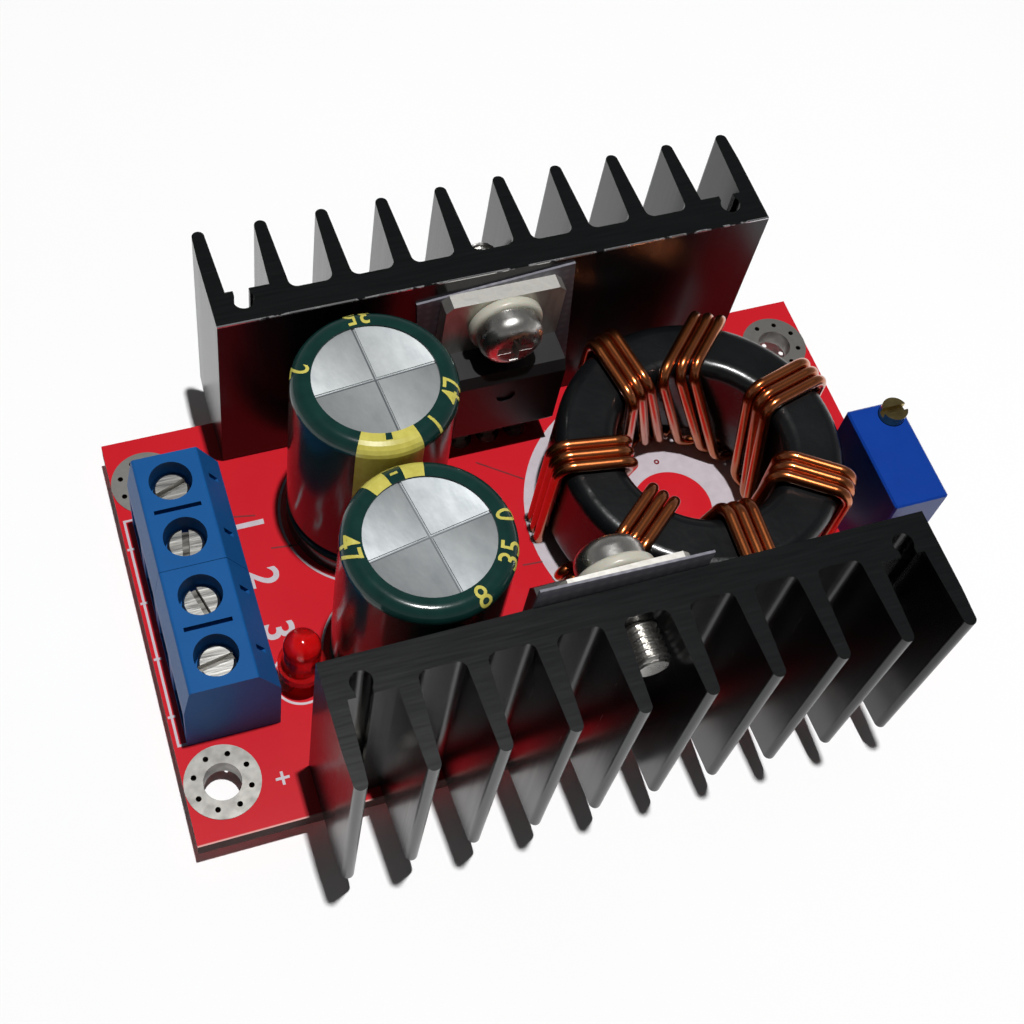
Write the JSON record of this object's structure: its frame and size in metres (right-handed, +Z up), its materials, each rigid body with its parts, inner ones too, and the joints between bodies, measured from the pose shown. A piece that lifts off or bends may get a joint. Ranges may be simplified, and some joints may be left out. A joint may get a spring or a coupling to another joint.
{
  "type": "boost converter module",
  "caption": "Step-up power converter board with finned heatsinks, ring inductor, upright capacitors, screw terminals, trimmer and pilot lamp.",
  "frame": {"origin": "under the middle of the board, level with the ends of the soldered leads", "axes": "+X along the board from the terminals to the trimmer, +Y to the rear heatsink, +Z up"},
  "size_m": [0.065, 0.047, 0.0256],
  "materials": {
    "solder_mask": "red solder mask over glass laminate, semi-gloss",
    "solder": "tin solder, bright and uneven",
    "black_anodised": "black anodised extrusion, semi-gloss, bare cut ends",
    "tinned_steel": "tinned, satin",
    "tinned_copper": "tinned copper, satin",
    "device_epoxy": "black moulded epoxy",
    "silicone_sheet": "grey silicone-coated glass cloth",
    "white_nylon": "white moulded nylon",
    "nickel_steel": "nickel-plated steel",
    "plated_cage": "plated folded strip",
    "core_coating": "black epoxy coating",
    "copper_wire": "enamelled copper wire, glossy",
    "can_aluminium": "drawn aluminium, satin",
    "green_sleeve": "dark green shrunk sleeve, glossy",
    "black_rubber": "moulded rubber",
    "paper_roll": "wound foil and paper",
    "blue_nylon": "blue moulded nylon, satin",
    "blue_case": "blue moulded plastic, satin",
    "turned_brass": "turned brass",
    "ceramic": "fired ceramic",
    "rotor_plastic": "white moulded acetal",
    "red_lens": "red tinted clear epoxy",
    "resistor_glaze": "black glazed film"
  },
  "bodies": {
    "root": {"circuit_board": "solder_mask", "mounting_rings": "solder", "solder_joints": "solder", "rear_heatsink": "black_anodised", "front_heatsink": "black_anodised", "rear_heatsink_pins": "tinned_steel", "front_heatsink_pins": "tinned_steel", "rectifier_tab": "tinned_copper", "rectifier_outer_leads": "tinned_copper", "rectifier_moulding": "device_epoxy", "transistor_tab": "tinned_copper", "transistor_outer_leads": "tinned_copper", "transistor_moulding": "device_epoxy", "rear_insulating_sheet": "silicone_sheet", "front_insulating_sheet": "silicone_sheet", "rear_shoulder_washer": "white_nylon", "front_shoulder_washer": "white_nylon", "device_screws": "nickel_steel", "inductor_core": "core_coating", "winding_strand_1": "copper_wire", "winding_strand_2": "copper_wire", "winding_strand_3": "copper_wire", "rear_capacitor_can": "can_aluminium", "rear_capacitor_sleeve": "green_sleeve", "rear_capacitor_bung": "black_rubber", "rear_capacitor_roll": "paper_roll", "rear_capacitor_leads": "tinned_steel", "front_capacitor_can": "can_aluminium", "front_capacitor_sleeve": "green_sleeve", "front_capacitor_bung": "black_rubber", "front_capacitor_roll": "paper_roll", "front_capacitor_leads": "tinned_steel", "input_terminal_housing": "blue_nylon", "output_terminal_housing": "blue_nylon", "terminal_contacts": "tinned_steel", "trimmer_case": "blue_case", "trimmer_base": "blue_case", "trimmer_pins": "tinned_steel", "trimmer_element": "ceramic", "pilot_lamp_lens": "red_lens", "pilot_lamp_legs": "tinned_steel", "controller_chip": "device_epoxy", "controller_legs": "tinned_copper", "regulator_chip": "device_epoxy", "regulator_legs": "tinned_copper", "small_resistors": "resistor_glaze", "ceramic_capacitors": "ceramic", "current_shunt": "resistor_glaze", "flat_part_caps": "tinned_copper"},
    "clamp_screw_1": {"terminal_screw_1": "nickel_steel"},
    "clamp_cage_1": {"terminal_cage_1": "plated_cage"},
    "clamp_screw_2": {"terminal_screw_2": "nickel_steel"},
    "clamp_cage_2": {"terminal_cage_2": "plated_cage"},
    "clamp_screw_3": {"terminal_screw_3": "nickel_steel"},
    "clamp_cage_3": {"terminal_cage_3": "plated_cage"},
    "clamp_screw_4": {"terminal_screw_4": "nickel_steel"},
    "clamp_cage_4": {"terminal_cage_4": "plated_cage"},
    "trimmer_screw": {"trimmer_screw": "turned_brass"},
    "trimmer_rotor": {"trimmer_rotor": "rotor_plastic"}
  },
  "joints": [
    {"name": "clamp_screw_1_turn", "type": "hinge", "parent": "root", "child": "clamp_screw_1", "pos_m": [-0.0283, -0.00762, 0.0115], "axis": [0, 0, -1], "range_deg": [0, 1610]},
    {"name": "clamp_cage_1_rise", "type": "slide", "parent": "root", "child": "clamp_cage_1", "axis": [0, 0, 1], "range_m": [0, 0.002]},
    {"name": "clamp_screw_2_turn", "type": "hinge", "parent": "root", "child": "clamp_screw_2", "pos_m": [-0.0283, -0.00254, 0.0115], "axis": [0, 0, -1], "range_deg": [0, 1610]},
    {"name": "clamp_cage_2_rise", "type": "slide", "parent": "root", "child": "clamp_cage_2", "axis": [0, 0, 1], "range_m": [0, 0.002]},
    {"name": "clamp_screw_3_turn", "type": "hinge", "parent": "root", "child": "clamp_screw_3", "pos_m": [-0.0283, 0.00254, 0.0115], "axis": [0, 0, -1], "range_deg": [0, 1610]},
    {"name": "clamp_cage_3_rise", "type": "slide", "parent": "root", "child": "clamp_cage_3", "axis": [0, 0, 1], "range_m": [0, 0.002]},
    {"name": "clamp_screw_4_turn", "type": "hinge", "parent": "root", "child": "clamp_screw_4", "pos_m": [-0.0283, 0.00762, 0.0115], "axis": [0, 0, -1], "range_deg": [0, 1610]},
    {"name": "clamp_cage_4_rise", "type": "slide", "parent": "root", "child": "clamp_cage_4", "axis": [0, 0, 1], "range_m": [0, 0.002]},
    {"name": "trimmer_screw_turn", "type": "hinge", "parent": "root", "child": "trimmer_screw", "pos_m": [0.0307, -0.00124, 0.0115], "axis": [0, 0, 1], "range_deg": [-4500, 4500]},
    {"name": "trimmer_rotor_turn", "type": "hinge", "parent": "root", "child": "trimmer_rotor", "pos_m": [0.031, -0.00468, 0.0086], "axis": [1, 0, 0], "range_deg": [-140, 140]}
  ],
  "couplings": [
    {"joint": "clamp_screw_1_turn", "follows": "clamp_cage_1_rise", "rad_per_m": 13963},
    {"joint": "clamp_screw_2_turn", "follows": "clamp_cage_2_rise", "rad_per_m": 13963},
    {"joint": "clamp_screw_3_turn", "follows": "clamp_cage_3_rise", "rad_per_m": 13963},
    {"joint": "clamp_screw_4_turn", "follows": "clamp_cage_4_rise", "rad_per_m": 13963},
    {"joint": "trimmer_rotor_turn", "follows": "trimmer_screw_turn", "ratio": 0.031}
  ]
}
